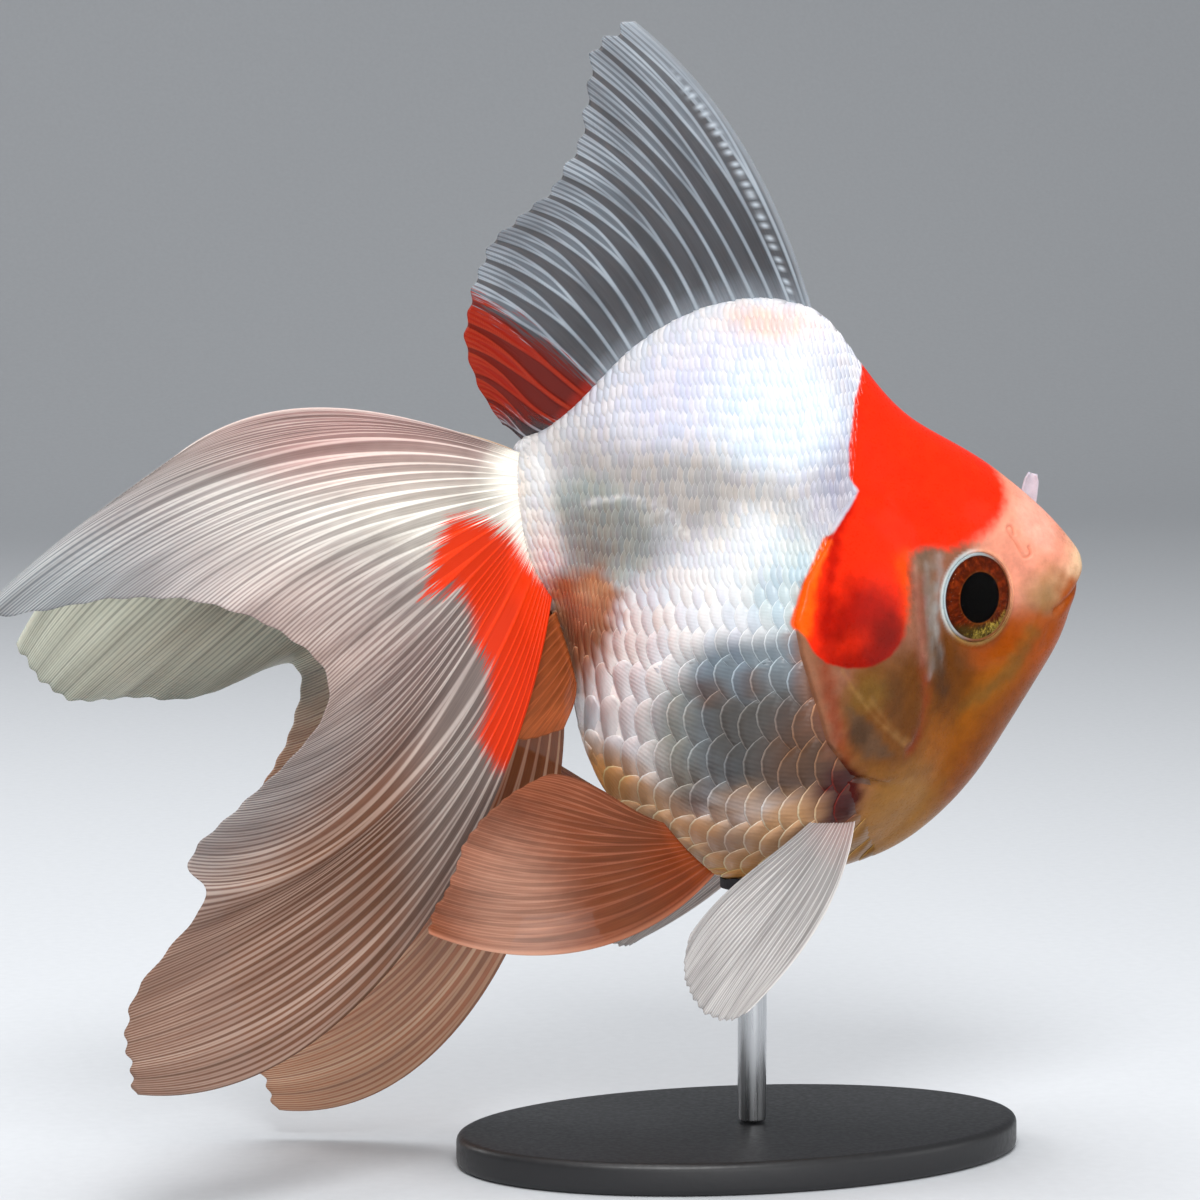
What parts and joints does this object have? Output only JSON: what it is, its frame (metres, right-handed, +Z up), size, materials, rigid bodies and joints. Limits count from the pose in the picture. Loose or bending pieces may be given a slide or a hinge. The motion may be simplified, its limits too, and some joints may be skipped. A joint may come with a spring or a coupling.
{
  "type": "fantail goldfish model on a stand",
  "caption": "Deep-bodied fantail goldfish with long paired tail fins, modelled life size in a swimming pose and held by a plain stand.",
  "frame": {"origin": "middle of the underside of the stand's base", "axes": "+X towards the fish's nose, +Y towards its left side, +Z up"},
  "size_m": [0.1691, 0.0724, 0.1732],
  "materials": {
    "skin": "wet-looking pearly skin under thin scales, white with a red-orange cap",
    "fin": "thin ribbed fin membrane, milky, with orange-red patches",
    "eye": "clear gloss over a dark brown and gold iris and a black pupil",
    "stand_black": "satin black paint",
    "stand_steel": "fine brushed"
  },
  "bodies": {
    "root": {"head": "skin", "lower_jaw": "skin", "gill_cover_right": "skin", "gill_cover_left": "skin", "nasal_flap_right": "skin", "nasal_flap_left": "skin", "trunk": "skin", "tail_stalk": "skin", "eye_right": "eye", "eye_left": "eye", "dorsal_fin": "fin", "pectoral_fin_right": "fin", "pectoral_fin_left": "fin", "pelvic_fin_right": "fin", "pelvic_fin_left": "fin", "anal_fin_right": "fin", "anal_fin_left": "fin", "tail_right_upper": "fin", "tail_right_lower": "fin", "tail_left_upper": "fin", "tail_left_lower": "fin", "stand_base": "stand_black", "stand_pad": "stand_black", "stand_rod": "stand_steel"}
  },
  "joints": []
}
